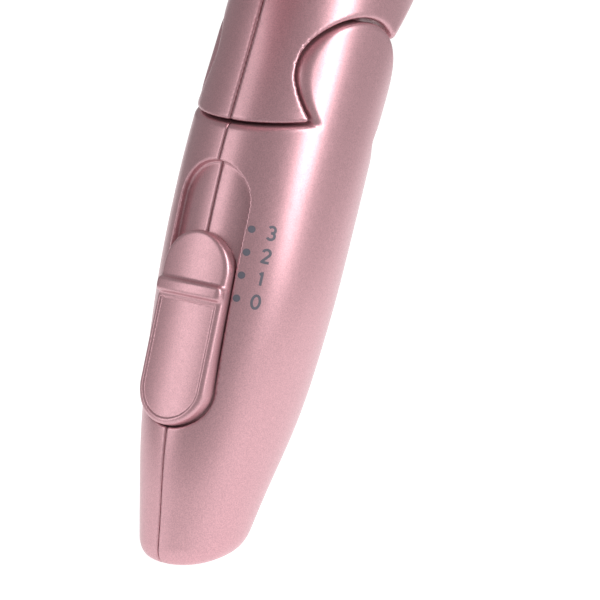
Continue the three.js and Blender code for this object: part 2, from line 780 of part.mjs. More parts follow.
const dryerBody = new THREE.Group();
dryerBody.add(
  part("body_shell_left", bodyShell(1), pearl),
  part("body_shell_right", bodyShell(-1), pearl),
  part("intake_grille", intakeGrille(), rose),
  part("intake_filter", intakeFilter(), dark),
  part("fan_duct", fanDuct(), white),
  part("motor", motor(), steel),
  part("heater_frame", heaterFrame(), mica),
  part("heater_coil", heaterCoil(), wire),
  part("heater_sleeve", heaterSleeve(), mica),
  part("thermal_cutout", thermalCutout(), steel),
  part("thermal_fuse", thermalFuse(), white),
  part("outlet_ring", outletRing(), rose),
  part("outlet_grille", outletGrille(), dark),
  part("hinge_axle", hingeAxle(), steel),
  part("hinge_washer_left", hingeWasher(1), steel),
  part("hinge_washer_right", hingeWasher(-1), steel),
);
bodyScrews.forEach(({ x, z }, i) => {
  dryerBody.add(part("body_screw_" + ["neck", "front"][i], screw(x, z), steel));
});

const fan = new THREE.Group();
fan.add(part("fan_impeller", fanImpeller(), dark), part("motor_shaft", motorShaft(), steel));

const handle = new THREE.Group();
handle.add(
  part("handle_shell_left", handleShell(1), pearl),
  part("handle_shell_right", handleShell(-1), pearl),
  part("switch_module", switchModule(), dark),
  part("circuit_board", circuitBoard(), green),
  part("capacitor", capacitor(), amber),
  part("diode", diode(), dark),
  part("cord_gland", cordGland(), dark),
);
handleScrews.forEach(({ x, down }, i) => {
  handle.add(part("handle_screw_" + ["upper", "lower"][i], leaned(screw(x, -down)), steel));
});

const slider = new THREE.Group();
slider.add(part("switch_knob", switchKnob(), rose), part("slide_carrier", slideCarrier(), white));

const dryer = new THREE.Group();
dryer.add(dryerBody, fan, handle);
handle.add(slider);

// The origin is the middle of the base of the whole dryer's box.
const extent = new THREE.Box3().setFromObject(dryer);
const middle = extent.getCenter(new THREE.Vector3());
dryer.position.set(-middle.x, -middle.y, -extent.min.z);

export default dryer;
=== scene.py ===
"""Looks of the folding hair dryer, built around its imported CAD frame.

The shells, the knob, the rear grille and the front ring are meshed from distance fields, in
millimetres from the fold hinge, so that their edges are rounded. The other pieces are the CAD nodes.
"""
import json
import math

import bpy
import numpy as np
from mathutils import Matrix, Vector


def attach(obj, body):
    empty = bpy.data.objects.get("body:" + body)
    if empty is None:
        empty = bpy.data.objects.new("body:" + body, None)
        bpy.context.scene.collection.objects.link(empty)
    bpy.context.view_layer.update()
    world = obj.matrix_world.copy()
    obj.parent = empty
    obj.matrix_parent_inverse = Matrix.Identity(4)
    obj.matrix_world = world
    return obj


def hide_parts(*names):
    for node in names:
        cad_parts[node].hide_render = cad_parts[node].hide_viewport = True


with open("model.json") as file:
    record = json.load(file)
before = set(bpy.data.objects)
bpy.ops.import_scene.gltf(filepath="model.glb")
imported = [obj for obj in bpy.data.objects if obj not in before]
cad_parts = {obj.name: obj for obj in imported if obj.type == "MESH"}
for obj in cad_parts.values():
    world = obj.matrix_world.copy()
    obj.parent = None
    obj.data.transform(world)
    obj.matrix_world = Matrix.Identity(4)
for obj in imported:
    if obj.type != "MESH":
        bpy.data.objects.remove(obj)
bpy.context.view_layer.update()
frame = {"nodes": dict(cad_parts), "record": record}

# ---- Sizes, as in the part -----------------------------------------------------------------

JOINTS = {joint["name"]: joint for joint in frame["record"]["behaviour"]["joints"]}
HINGE = np.array(JOINTS["handle_fold"]["pos_m"]) * 1000
BARREL_UP = JOINTS["fan_spin"]["pos_m"][2] * 1000 - HINGE[2]
SLIDE_AXIS = JOINTS["switch_slide"]["axis"]
LEAN = math.atan2(SLIDE_AXIS[0], SLIDE_AXIS[2])

GRIP_LENGTH = 110.0
GRIP_DEPTH = 21.8
GRIP_WIDTH = 19.2
FOOT_DEPTH = 12.2
FOOT_WIDTH = 10.4
GRIP_AHEAD = 1.7
GRIP_BOW = 4.2
GRIP_BOW_LENGTH = 28.0
SQUARENESS = 2.15
FOOT_ROUNDING = 4.8
FOOT_LIFT = 0.03  # keeps the foot just inside the CAD box
WALL = 2.2
PARTING = 0.07  # half of the gap between the shells
SEAM_ROUNDING = 0.3

EAR_RADIUS = 15.1
EAR_GAP = 0.8
TONGUE_HALF = 7.6
TONGUE_GAP = 0.5
TONGUE_RADIUS = 14.3
NECK_EDGE = -5.2
EDGE_GAP = 0.7
FOLD_STOP = math.radians(32)
FOLD_TRAVEL = math.radians(96)

RECESS_TOP = 22.2
RECESS_DEPTH = 1.9
RECESS_FLOOR = 1.6
RECESS_HALF = 9.3
BACK_ONLY = -2.0  # recess and slot lie behind this place in the handle's depth
KNOB_LENGTH = 44.0
KNOB_GAP = 0.35
TRAVEL = 15.6
SWITCH_STEPS = 3
KNOB_RISE = 1.1
KNOB_CROWN = 38.0
RIDGE_DOWN = 13.3
RIDGE_HEIGHT = 3.3
RIDGE_RISE = 1.3
PAD_RIM = 1.5  # width of the rim round the thumb pad
PAD_DEPTH = 0.35
STEM_HALF = 2.2
STEM_HALF_LENGTH = 4.0
STEM_LENGTH = 10.0
SLOT_HALF = 2.55
SLOT_HALF_LENGTH = 12.2
RECESS_LENGTH = KNOB_LENGTH + 2 * KNOB_GAP + TRAVEL
RECESS_MIDDLE = RECESS_TOP + RECESS_LENGTH / 2
KNOB_MIDDLE = RECESS_TOP + RECESS_LENGTH - KNOB_GAP - KNOB_LENGTH / 2

BARREL_REAR = -56.0
BARREL_FRONT = 92.0
BARREL_ROUNDING = 0.9
NECK_FILLET = 9.0  # between the neck and the barrel

GLAND_LIP = 5.55  # room for the gland's lip, and for its shank
GLAND_SHANK = 4.15
GLAND_LIP_DEPTH = 2.1
GLAND_DEPTH = 8.0
HANDLE_SCREWS = ((8.5, 40.0), (3.2, 97.0))  # forward of the handle's axis, and down it
BODY_SCREWS = ((14.0, 26.0), (60.0, BARREL_UP - 22))  # forward of the hinge, and above it
SCREW_HEAD = 3.15  # radius of the counterbore, which is open on the left side
SCREW_SHANK = 1.8
SCREW_SEAT = 4.6
SCREW_END = 7.6
BOSS_RADIUS = 3.4
AXLE_ROOM = (2.8, 13.9)  # radius and half length
WASHER_ROOM = (7.8, 8.9)
WIRE_ROOM_HALF = 3.5

SEAT_GAP = 0.35
INTAKE_DEPTH = 15.0
INTAKE_RADIUS = 34.9
INTAKE_DOME = 11.5  # how much smaller the dome's rear is
INTAKE_DOME_SHARPNESS = 2.6
INTAKE_RIM = 2.4
INTAKE_HUB = 4.6
INTAKE_FIELD = 23.2  # radius of the part with round slots
INTAKE_PITCH = 3.1
INTAKE_SLOT_HALF = 0.85
INTAKE_SPOKES = 6
INTAKE_SPOKE_HALF = 0.9
INTAKE_SIDE_SLOTS = 40
INTAKE_SIDE_HALF = 0.95
OUTLET_DEPTH = 13.0
OUTLET_RADIUS = 28.9
OUTLET_TAPER = 0.9
OUTLET_BORE = 24.45


# ---- Distance fields -----------------------------------------------------------------------


def smooth_union(a, b, size):
    share = np.maximum(size - np.abs(a - b), 0) / size
    return np.minimum(a, b) - share * share * size / 4


def smooth_cut(a, b, size):
    """What lies in both a and b, with the edge between them rounded."""
    return -smooth_union(-a, -b, size)


def curve_through(stations):
    """Dense lookup of a smooth curve through (place, value, ...) stations."""
    rows = np.array(sorted(stations))
    place = rows[:, 0]
    values = rows[:, 1:]
    slope = np.gradient(values, place, axis=0)
    dense = np.linspace(place[0], place[-1], 400)
    cell = np.clip(np.searchsorted(place, dense, side="right") - 1, 0, len(place) - 2)
    width = (place[cell + 1] - place[cell])[:, None]
    t = ((dense - place[cell])[:, None]) / width
    start = (2 * t**3 - 3 * t**2 + 1) * values[cell] + (t**3 - 2 * t**2 + t) * width * slope[cell]
    end = (3 * t**2 - 2 * t**3) * values[cell + 1] + (t**3 - t**2) * width * slope[cell + 1]
    return dense, start + end


GRIP_PLACE, GRIP_SIZE = curve_through(
    (
        (-52.0, GRIP_DEPTH + 1.6, GRIP_WIDTH + 0.6),
        (-24.0, GRIP_DEPTH + 0.8, GRIP_WIDTH - 0.3),
        (0.0, GRIP_DEPTH, GRIP_WIDTH),
        (GRIP_LENGTH * 0.25, GRIP_DEPTH + 0.3, GRIP_WIDTH + 0.2),
        (GRIP_LENGTH * 0.46, GRIP_DEPTH - 0.5, GRIP_WIDTH - 0.3),
        (
            GRIP_LENGTH * 0.725,
            (GRIP_DEPTH * 3 + FOOT_DEPTH) / 4,
            (GRIP_WIDTH * 3 + FOOT_WIDTH) / 4 - 1.6,
        ),
        (GRIP_LENGTH * 0.89, FOOT_DEPTH + 2.6, FOOT_WIDTH + 2.1),
        (GRIP_LENGTH, FOOT_DEPTH, FOOT_WIDTH),
    )
)
BARREL_PLACE, BARREL_SIZE = curve_through(
    (
        (BARREL_REAR, 34.9),
        (-38.0, 36.7),
        (-14.0, 37.85),
        (12.0, 37.0),
        (39.0, 34.6),
        (66.0, 31.4),
        (BARREL_FRONT, 28.9),
    )
)


def grip_middle(down):
    behind = -GRIP_BOW * (1 - np.exp(-np.maximum(down, 0) / GRIP_BOW_LENGTH))
    return GRIP_AHEAD + np.where(down < 0, -down * GRIP_BOW / GRIP_BOW_LENGTH, behind)


def to_handle(x, z):
    """From the hinge's level frame to the handle's own, whose Z runs up the handle."""
    return x * math.cos(LEAN) - z * math.sin(LEAN), x * math.sin(LEAN) + z * math.cos(LEAN)


def from_handle(x, z):
    return x * math.cos(LEAN) + z * math.sin(LEAN), -x * math.sin(LEAN) + z * math.cos(LEAN)


def grip(x, y, z, end=True):
    """Distance to the grip's outline, in the handle's own frame."""
    share = np.clip((-z - GRIP_LENGTH * 0.6) / (GRIP_LENGTH * 0.35), 0, 1)
    tilt = math.tan(LEAN) * share * share * (3 - 2 * share)
    down = -z + tilt * (x - grip_middle(-z))
    depth = np.interp(down, GRIP_PLACE, GRIP_SIZE[:, 0])
    width = np.interp(down, GRIP_PLACE, GRIP_SIZE[:, 1])
    dx = np.abs(x - grip_middle(down))
    dy = np.abs(y)
    gauge = ((dx / depth) ** SQUARENESS + (dy / width) ** SQUARENESS) ** (1 / SQUARENESS)
    radius = np.hypot(dx, dy)
    around = radius * (1 - 1 / np.maximum(gauge, 0.05))
    if not end:
        return around
    return smooth_cut(around, (down - GRIP_LENGTH + FOOT_LIFT) * math.cos(LEAN), FOOT_ROUNDING)


def back_line(down):
    return float(grip_middle(down) - np.interp(down, GRIP_PLACE, GRIP_SIZE[:, 0]))


KNOB_FACE = back_line(RECESS_MIDDLE) - KNOB_RISE


def stadium(y, z, half, length, down):
    """Distance to a bar with round ends, along the handle, in the Y-Z plane."""
    along = np.maximum(np.abs(z + down) - (length / 2 - half), 0)
    return np.hypot(y, along) - half


def lugs(x, y, z, radius, inner, edge):
    """Round discs about the hinge axis, outside a half width."""
    return smooth_cut(np.hypot(x, z) - radius, inner - np.abs(y), edge)


def nearest(x, z, places):
    """Distance to the nearest of some lines along Y."""
    return np.minimum.reduce([np.hypot(x - sx, z - sz) for sx, sz in places])


def screw_holes(x, y, z, places):
    """Counterbores and shanks of the screws, whose heads are all on the +Y side."""
    far = nearest(x, z, places)
    return np.minimum(
        np.maximum(far - SCREW_HEAD, SCREW_SEAT - y),
        np.maximum(far - SCREW_SHANK, -y - SCREW_END),
    )


def bosses(x, z, places):
    return nearest(x, z, places) - BOSS_RADIUS


def drum_room(x, y, z, radius, half_length):
    """A cylinder about the hinge axis."""
    return np.maximum(np.hypot(x, z) - radius, np.abs(y) - half_length)


def wire_room(x, y, z, half_depth, middle, half_length):
    """A passage along the handle's axis, in the handle's own frame."""
    section = np.maximum(np.abs(x) - half_depth, np.abs(y) - WIRE_ROOM_HALF)
    return np.maximum(section, np.abs(z - middle) - half_length)


def handle_outside(x, y, z, outline):
    """The handle without its hollows: grip below the neck, and the two round lugs."""
    edge_angle = FOLD_STOP - FOLD_TRAVEL
    front = -x * math.sin(edge_angle) + z * math.cos(edge_angle)
    body = smooth_cut(z - (NECK_EDGE - EDGE_GAP), front, 1.5)
    drum = drum_room(x, y, z, TONGUE_RADIUS + TONGUE_GAP, TONGUE_HALF + TONGUE_GAP)
    body = smooth_cut(body, -drum, 0.6)
    ears = lugs(x, y, z, EAR_RADIUS, TONGUE_HALF + TONGUE_GAP, 0.6)
    blend = 1.6 + 1.4 * np.clip(x / 8, 0, 1)  # softer in front, where no edge of the neck is near
    return smooth_cut(outline, smooth_union(body, ears, blend), 1.3)


def gland_seat(x, y, z):
    """Stepped hole in the foot for the cord gland."""
    foot_x, foot_z = from_handle(float(grip_middle(GRIP_LENGTH)), -GRIP_LENGTH)
    far = np.hypot(x - foot_x, y)
    lip = np.maximum(far - GLAND_LIP, z - foot_z - GLAND_LIP_DEPTH)
    return np.minimum(np.maximum(far - GLAND_SHANK, z - foot_z - GLAND_DEPTH), lip)


def handle_field(x, y, z):
    hx, hz = to_handle(x, z)
    outline = grip(hx, y, hz)
    shell = handle_outside(x, y, z, outline)
    screws = [from_handle(sx, -down) for sx, down in HANDLE_SCREWS]
    behind = hx - BACK_ONLY

    # The wall is kept behind the recess and round the screws.
    cavity = np.maximum(outline + WALL, hz + TONGUE_RADIUS + TONGUE_GAP + WALL)
    backing = stadium(y, hz, RECESS_HALF + 1.5, RECESS_LENGTH + 3, RECESS_MIDDLE)
    backing = np.maximum(backing, behind)
    backing = np.maximum(backing, -(outline + RECESS_DEPTH + RECESS_FLOOR))
    cavity = np.maximum(np.maximum(cavity, -backing), -bosses(x, z, screws))
    shell = np.maximum(shell, -cavity)

    recess = np.maximum(stadium(y, hz, RECESS_HALF, RECESS_LENGTH, RECESS_MIDDLE), behind)
    recess = smooth_cut(recess, -(outline + RECESS_DEPTH), 0.8)
    shell = smooth_cut(shell, -recess, 0.55)
    slot = np.maximum(np.abs(y) - SLOT_HALF, np.abs(hz + KNOB_MIDDLE - TRAVEL / 2) - SLOT_HALF_LENGTH)
    rooms = (
        np.maximum(slot, behind),
        screw_holes(x, y, z, screws),
        gland_seat(x, y, z),
        wire_room(hx, y, hz, 5, -10, 14),
        drum_room(x, y, z, *AXLE_ROOM),
        drum_room(x, y, z, *WASHER_ROOM),
    )
    for room in rooms:
        shell = np.maximum(shell, -room)
    return shell


def barrel(x, y, z, inset=0.0):
    radius = np.interp(x, BARREL_PLACE, BARREL_SIZE[:, 0])
    return np.hypot(y, z - BARREL_UP) - radius + inset


def body_field(x, y, z):
    hx, hz = to_handle(x, z)
    outline = grip(hx, y, hz, end=False)
    ends = np.maximum(BARREL_REAR - x, x - BARREL_FRONT)
    tube = smooth_cut(barrel(x, y, z), ends, BARREL_ROUNDING)
    front = x * math.sin(FOLD_STOP) - z * math.cos(FOLD_STOP)
    top = z - BARREL_UP + 8
    neck = smooth_cut(smooth_cut(outline, front, 3.0), np.maximum(NECK_EDGE - z, top), 0.9)
    room = lugs(x, y, z, EAR_RADIUS + EAR_GAP, TONGUE_HALF, 0.4)
    neck = smooth_cut(neck, -room, 1.3)
    drum = smooth_cut(np.hypot(x, z) - TONGUE_RADIUS, np.abs(y) - TONGUE_HALF, 0.8)
    whole = smooth_union(smooth_union(neck, drum, 0.5), tube, NECK_FILLET)
    whole = np.maximum(whole, ends)
    inner = np.maximum(outline + WALL, EAR_RADIUS * 0.4 - z)
    inner = np.maximum(inner, EAR_RADIUS + EAR_GAP + WALL - np.hypot(x, z))
    inner = np.maximum(np.maximum(inner, front + WALL), top)
    air = smooth_union(barrel(x, y, z, WALL), inner, 3.0)
    air = np.maximum(air, -bosses(x, z, BODY_SCREWS))
    whole = np.maximum(whole, -air)
    whole = np.maximum(whole, -screw_holes(x, y, z, BODY_SCREWS))
    whole = np.maximum(whole, -wire_room(hx, y, hz, 4, 4, 20))
    return np.maximum(whole, AXLE_ROOM[0] - np.hypot(x, z))


def knob_field(x, y, z):
    hx, hz = to_handle(x, z)
    plan = stadium(y, hz, RECESS_HALF - KNOB_GAP, KNOB_LENGTH, KNOB_MIDDLE)
    crown = np.hypot(hx - KNOB_FACE - KNOB_CROWN, y) - KNOB_CROWN
    above_ridge = hz + KNOB_MIDDLE - KNOB_LENGTH / 2 + RIDGE_DOWN
    # A shallow step leaves a raised rim round the thumb pad below the ridge.
    pad = np.maximum(plan + PAD_RIM, above_ridge + RIDGE_HEIGHT / 2 + 1.2)
    top = smooth_cut(crown, -np.maximum(pad, -(crown + PAD_DEPTH)), 0.3)
    ridge = smooth_cut(crown - RIDGE_RISE, np.abs(above_ridge) - RIDGE_HEIGHT / 2, 1.1)
    ridge = np.maximum(ridge, -(crown + 1))
    face = smooth_union(top, ridge, 0.9)
    knob = smooth_cut(plan, face, 1.2)
    for step in range(SWITCH_STEPS + 1):  # clear of the recess floor at every position
        shifted = grip(hx, y, hz + TRAVEL * step / SWITCH_STEPS)
        knob = np.maximum(knob, -(shifted + RECESS_DEPTH - KNOB_GAP))
    knob = np.maximum(knob, hx + 5)
    stem = np.maximum(np.abs(y) - STEM_HALF, np.abs(hz + KNOB_MIDDLE) - STEM_HALF_LENGTH)
    stem = np.maximum(stem, np.maximum(KNOB_FACE + 1 - hx, hx - KNOB_FACE - STEM_LENGTH))
    return np.minimum(knob, stem)


def from_spoke(turn, radius, count):
    """Distance to the nearest of evenly spread lines through the barrel's axis."""
    return np.abs((turn / (2 * math.pi) * count) % 1 - 0.5) * 2 * math.pi / count * radius


def grille_field(x, y, z):
    """Domed rear grille: round slots between spokes, and short slots round the side."""
    radius = np.hypot(y, z - BARREL_UP)
    turn = np.arctan2(y, z - BARREL_UP)
    front = BARREL_REAR - SEAT_GAP
    rear = front - INTAKE_DEPTH
    depth = np.clip((front - x) / INTAKE_DEPTH, 0, 1)
    rim = INTAKE_RADIUS - INTAKE_DOME * depth**INTAKE_DOME_SHARPNESS
    outer = smooth_cut(radius - rim, np.maximum(rear - x, x - front), 2.4)
    inner = np.maximum(radius - rim + INTAKE_RIM, rear + INTAKE_RIM - x)
    wall = np.maximum(outer, -inner)
    spigot = np.maximum(np.abs(radius - 31.2) - 1.1, np.abs(x - front - 0.5) - 3.4)
    wall = np.minimum(wall, spigot)

    slots = np.abs((radius - INTAKE_HUB) % INTAKE_PITCH - INTAKE_PITCH / 2) - INTAKE_SLOT_HALF
    slots = np.maximum(slots, np.maximum(INTAKE_HUB - radius, radius - INTAKE_FIELD))
    slots = np.maximum(slots, INTAKE_SPOKE_HALF - from_spoke(turn, radius, INTAKE_SPOKES))
    slots = np.maximum(slots, x - rear - 6)
    side = from_spoke(turn, radius, INTAKE_SIDE_SLOTS) - INTAKE_SIDE_HALF
    side = np.maximum(np.maximum(side, np.abs(x - front + 6.3) - 2.9), 20 - radius)
    return smooth_cut(smooth_cut(wall, -slots, 0.4), -side, 0.5)


def ring_field(x, y, z):
    """Front ring with a rounded mouth, a groove and a spigot that fits in the barrel."""
    radius = np.hypot(y, z - BARREL_UP)
    start = BARREL_FRONT + SEAT_GAP
    end = start + OUTLET_DEPTH
    outer = OUTLET_RADIUS - OUTLET_TAPER * np.clip((x - start) / OUTLET_DEPTH, 0, 1) ** 2
    body = smooth_cut(radius - outer, np.maximum(start - x, x - end), 1.2)
    groove = np.maximum(np.abs(x - start - 2.4) - 0.6, outer - 0.6 - radius)
    body = smooth_cut(body, -groove, 0.5)
    spigot = np.maximum(radius - 26.4, np.abs(x - start + 2.6) - 3.4)
    whole = smooth_cut(np.minimum(body, spigot), OUTLET_BORE - radius, 1.0)
    seat = np.maximum(np.abs(radius - 24) - 1.1, np.abs(x - start + 2) - 1)
    return np.minimum(whole, seat)


# ---- Meshing -------------------------------------------------------------------------------


def mesh_field(name, field, low, high, step):
    """A closed quad mesh of the field's zero surface in a box, in millimetres from the hinge.

    Each cell that the surface crosses gets one vertex, and each crossed grid edge one quad.
    """
    low = np.array(low, float)
    count = np.ceil((np.array(high, float) - low) / step).astype(int) + 1
    axes = [low[i] + step * np.arange(count[i]) for i in range(3)]
    x, y, z = np.meshgrid(*axes, indexing="ij", sparse=True)
    grid = np.ascontiguousarray(np.broadcast_to(field(x, y, z), count).astype(np.float32))
    for i in range(3):  # outside all round the box, so that the mesh is closed
        side = [slice(None)] * 3
        for end in (0, -1):
            side[i] = end
            grid[tuple(side)] = np.maximum(grid[tuple(side)], 0.05)
    cells = count - 1
    total = int(np.prod(cells))
    weight = np.zeros(total)
    place = np.zeros((3, total))
    quads = []
    stride = np.array([cells[1] * cells[2], cells[2], 1])
    for axis in range(3):
        here = [slice(None)] * 3
        there = [slice(None)] * 3
        here[axis] = slice(None, -1)
        there[axis] = slice(1, None)
        a = grid[tuple(here)]
        b = grid[tuple(there)]
        index = np.argwhere((a < 0) != (b < 0))
        va = a[tuple(index.T)].astype(float)
        vb = b[tuple(index.T)].astype(float)
        point = index.astype(float)
        point[:, axis] += va / (va - vb)
        u, v = (axis + 1) % 3, (axis + 2) % 3
        corner = []
        for du, dv in ((0, 0), (1, 0), (1, 1), (0, 1)):
            cell = index.copy()
            cell[:, u] -= du
            cell[:, v] -= dv
            flat = cell @ stride
            corner.append(flat)
            weight += np.bincount(flat, minlength=total)
            for i in range(3):
                place[i] += np.bincount(flat, weights=point[:, i], minlength=total)
        quad = np.stack(corner, 1)
        quad[va >= 0] = quad[va >= 0][:, ::-1]
        quads.append(quad)
    used = np.flatnonzero(weight)
    vertex = (place[:, used] / weight[used]).T * step + low
    number = np.full(total, -1, np.int64)
    number[used] = np.arange(len(used))
    faces = number[np.concatenate(quads)]
    vertex = settle(field, vertex, step)
    return make_mesh(name, vertex, faces.tolist())


def settle(field, vertex, step):
    """Moves the vertices onto the field's own surface, by at most half a step."""
    start = vertex.copy()
    delta = step * 0.15
    for _ in range(3):
        value = field(*vertex.T)
        slope = np.stack(
            [
                (field(*(vertex + shift).T) - field(*(vertex - shift).T)) / (2 * delta)
                for shift in np.eye(3) * delta
            ],
            1,
        )
        size = np.maximum((slope**2).sum(1), 0.25)
        vertex = vertex - 0.8 * (value / size)[:, None] * slope
        vertex = start + np.clip(vertex - start, -0.5 * step, 0.5 * step)
    return vertex


def make_mesh(name, vertex, faces, smooth=True):
    """A piece from vertices in millimetres from the hinge."""
    mesh = bpy.data.meshes.new(name)
    points = (vertex + HINGE) / 1000
    mesh.from_pydata(points.tolist(), [], faces)
    mesh.validate()
    if smooth:
        mesh.shade_smooth()
    piece = bpy.data.objects.new(name, mesh)
    bpy.context.scene.collection.objects.link(piece)
    return piece


def half(field, side):
    """One side of the parting plane, with a fine rounding along the seam."""
    return lambda x, y, z: smooth_cut(field(x, y, z), PARTING - side * y, SEAM_ROUNDING)


# ---- Materials -----------------------------------------------------------------------------


def shader_of(material):
    return material.node_tree.nodes["Principled BSDF"]


def join(material, source, socket):
    material.node_tree.links.new(source, socket)


def new_material(name, color, roughness, metallic=0.0, coat=0.0):
    material = bpy.data.materials.new(name)
    material.use_nodes = True
    shader = shader_of(material)
    shader.inputs["Base Color"].default_value = (*color, 1)
    shader.inputs["Roughness"].default_value = roughness
    shader.inputs["Metallic"].default_value = metallic
    shader.inputs["Coat Weight"].default_value = coat
    shader.inputs["Coat Roughness"].default_value = 0.2
    return material


def noise(material, scale, detail=2.0):
    """Noise over the object's own coordinates, with a number of cells in each metre."""
    nodes = material.node_tree.nodes
    place = nodes.new("ShaderNodeTexCoord")
    texture = nodes.new("ShaderNodeTexNoise")
    texture.inputs["Scale"].default_value = scale
    texture.inputs["Detail"].default_value = detail
    join(material, place.outputs["Object"], texture.inputs["Vector"])
    return texture.outputs["Fac"]


def vary_color(material, source, dark, light, low=0.35, high=0.65):
    ramp = material.node_tree.nodes.new("ShaderNodeValToRGB")
    for element, place, color in zip(ramp.color_ramp.elements, (low, high), (dark, light)):
        element.position = place
        element.color = (*color, 1)
    join(material, source, ramp.inputs["Fac"])
    join(material, ramp.outputs["Color"], shader_of(material).inputs["Base Color"])


def map_range(material, source, kind, spans):
    span = material.node_tree.nodes.new("ShaderNodeMapRange")
    span.interpolation_type = kind
    for word, value in zip(("From Min", "From Max", "To Min", "To Max"), spans):
        span.inputs[word].default_value = value
    join(material, source, span.inputs["Value"])
    return span.outputs["Result"]


def vary_roughness(material, source, low, high):
    spread = map_range(material, source, "LINEAR", (0, 1, low, high))
    join(material, spread, shader_of(material).inputs["Roughness"])


def bump(material, source, strength, depth):
    relief = material.node_tree.nodes.new("ShaderNodeBump")
    relief.inputs["Strength"].default_value = strength
    relief.inputs["Distance"].default_value = depth
    join(material, source, relief.inputs["Height"])
    join(material, relief.outputs["Normal"], shader_of(material).inputs["Normal"])


def math_node(material, operation, first, second):
    """A sum or the like of two values, each a number or a node's output."""
    node = material.node_tree.nodes.new("ShaderNodeMath")
    node.operation = operation
    for socket, value in zip(node.inputs, (first, second)):
        if isinstance(value, (int, float)):
            socket.default_value = value
        else:
            join(material, value, socket)
    return node.outputs["Value"]


def painted_light_wedge(material, strength, rest):
    """Painted light: the paper glows in a wedge that widens along the floor's own Y, with less glow
    beside it and in front.
    """
    nodes = material.node_tree.nodes
    place = nodes.new("ShaderNodeTexCoord")
    split = nodes.new("ShaderNodeSeparateXYZ")
    join(material, place.outputs["Object"], split.inputs["Vector"])
    across = math_node(material, "ABSOLUTE", split.outputs["X"], 0)
    along = math_node(material, "ADD", split.outputs["Y"], WEDGE_START)
    along = math_node(material, "MAXIMUM", along, WEDGE_SHORTEST)
    slope = math_node(material, "DIVIDE", across, along)
    wedge = map_range(material, slope, "SMOOTHSTEP", (*WEDGE_SLOPES, 1, 0))
    front = map_range(material, split.outputs["Y"], "SMOOTHSTEP", (*WEDGE_FRONT, 0, 1))
    painted_glow = math_node(material, "MULTIPLY", wedge, front)
    painted_glow = math_node(material, "MULTIPLY", painted_glow, strength - rest)
    painted_glow = math_node(material, "ADD", painted_glow, rest)
    join(material, painted_glow, shader_of(material).inputs["Emission Strength"])


def scaled(color, factor):
    return tuple(min(1.0, c * factor) for c in color)


def pearl(name, color, roughness=0.36, metallic=0.78):
    """Metallic lacquer: fine flakes that catch the light, under a satin coat."""
    material = new_material(name, color, roughness, metallic, 0.3)
    flakes = noise(material, 3800, 1.0)
    vary_color(material, flakes, scaled(color, 0.86), scaled(color, 1.12), 0.3, 0.7)
    vary_roughness(material, noise(material, 900, 3.0), roughness - 0.05, roughness + 0.07)
    bump(material, flakes, 0.10, 0.00003)
    return material


def moulded(name, color, roughness):
    """Spark-textured plastic."""
    material = new_material(name, color, roughness)
    grain = noise(material, 2600, 3.0)
    vary_color(material, noise(material, 60, 4.0), scaled(color, 0.9), scaled(color, 1.1))
    vary_roughness(material, grain, roughness - 0.08, roughness + 0.08)
    bump(material, grain, 0.2, 0.00005)
    return material


def metal(name, color, roughness):
    material = new_material(name, color, roughness, 1.0)
    streaks = noise(material, 700, 5.0)
    vary_color(material, streaks, scaled(color, 0.88), scaled(color, 1.08))
    vary_roughness(material, streaks, roughness - 0.08, roughness + 0.12)
    bump(material, noise(material, 1800, 2.0), 0.08, 0.00003)
    return material


def flaky(name, color):
    """Mica sheet: mottled flakes with a soft shine."""
    material = new_material(name, color, 0.45)
    vary_color(material, noise(material, 420, 6.0), scaled(color, 0.75), scaled(color, 1.2), 0.3, 0.7)
    bump(material, noise(material, 900, 4.0), 0.3, 0.00006)
    return material


# Painted light on the floor: where it glows, so that it shows white behind the dryer, washes out the
# foot's shadow and lights the dryer from below.
WEDGE_START = 0.85  # in metres in front of the floor's middle, near the camera
WEDGE_SHORTEST = 0.3
WEDGE_SLOPES = (0.12, 0.4)  # the painted glow is full inside the first, and none of the wedge's glow is left outside the second
WEDGE_FRONT = (-0.16, -0.07)

ROSE = (0.62, 0.352, 0.39)
MATERIALS = {
    "pearl_shell": pearl("pearl_shell", ROSE),
    "rose_trim": pearl("rose_trim", scaled(ROSE, 0.92), 0.3),
    "rose_knob": pearl("rose_knob", ROSE, 0.36),
    "dark_plastic": moulded("dark_plastic", (0.03, 0.03, 0.034), 0.5),
    "rubber": moulded("rubber", (0.035, 0.03, 0.033), 0.7),
    "white_plastic": moulded("white_plastic", (0.72, 0.70, 0.66), 0.5),
    "steel": metal("steel", (0.58, 0.59, 0.6), 0.3),
    "mica": flaky("mica", (0.48, 0.38, 0.24)),
    "heating_wire": metal("heating_wire", (0.36, 0.36, 0.38), 0.38),
    "board_green": moulded("board_green", (0.03, 0.16, 0.07), 0.4),
    "capacitor_film": moulded("capacitor_film", (0.5, 0.28, 0.05), 0.35),
}
PRINT = moulded("print_grey", (0.13, 0.125, 0.155), 0.45)

SLOT_OF = {entry["node"]: entry["material_slot"] for entry in frame["record"]["subparts"]}
BODY_OF = {
    node: body for body, members in frame["record"]["behaviour"]["bodies"].items() for node in members
}
for node, item in frame["nodes"].items():
    finish = MATERIALS[SLOT_OF[node]]
    if not item.material_slots:
        item.data.materials.append(finish)
    for slot in item.material_slots:
        slot.material = finish


def stand_in(piece, node):
    """The piece is shown in the node's place, on its body and in its finish."""
    piece.data.materials.append(MATERIALS[SLOT_OF[node]])
    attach(piece, BODY_OF[node])
    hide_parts(node)
    return piece


# ---- Shells, knob, grille and ring ---------------------------------------------------------

COARSE = 1.0
GRIP_CELL = 0.42
BODY_CELL = 0.6
KNOB_CELL = 0.27
END_CELL = 0.42
SEAM_MARGIN = 0.2


def sides_of(side, reach):
    """The box's limits along Y for one half, up to a little past the parting plane."""
    return (-SEAM_MARGIN, reach) if side > 0 else (-reach, SEAM_MARGIN)


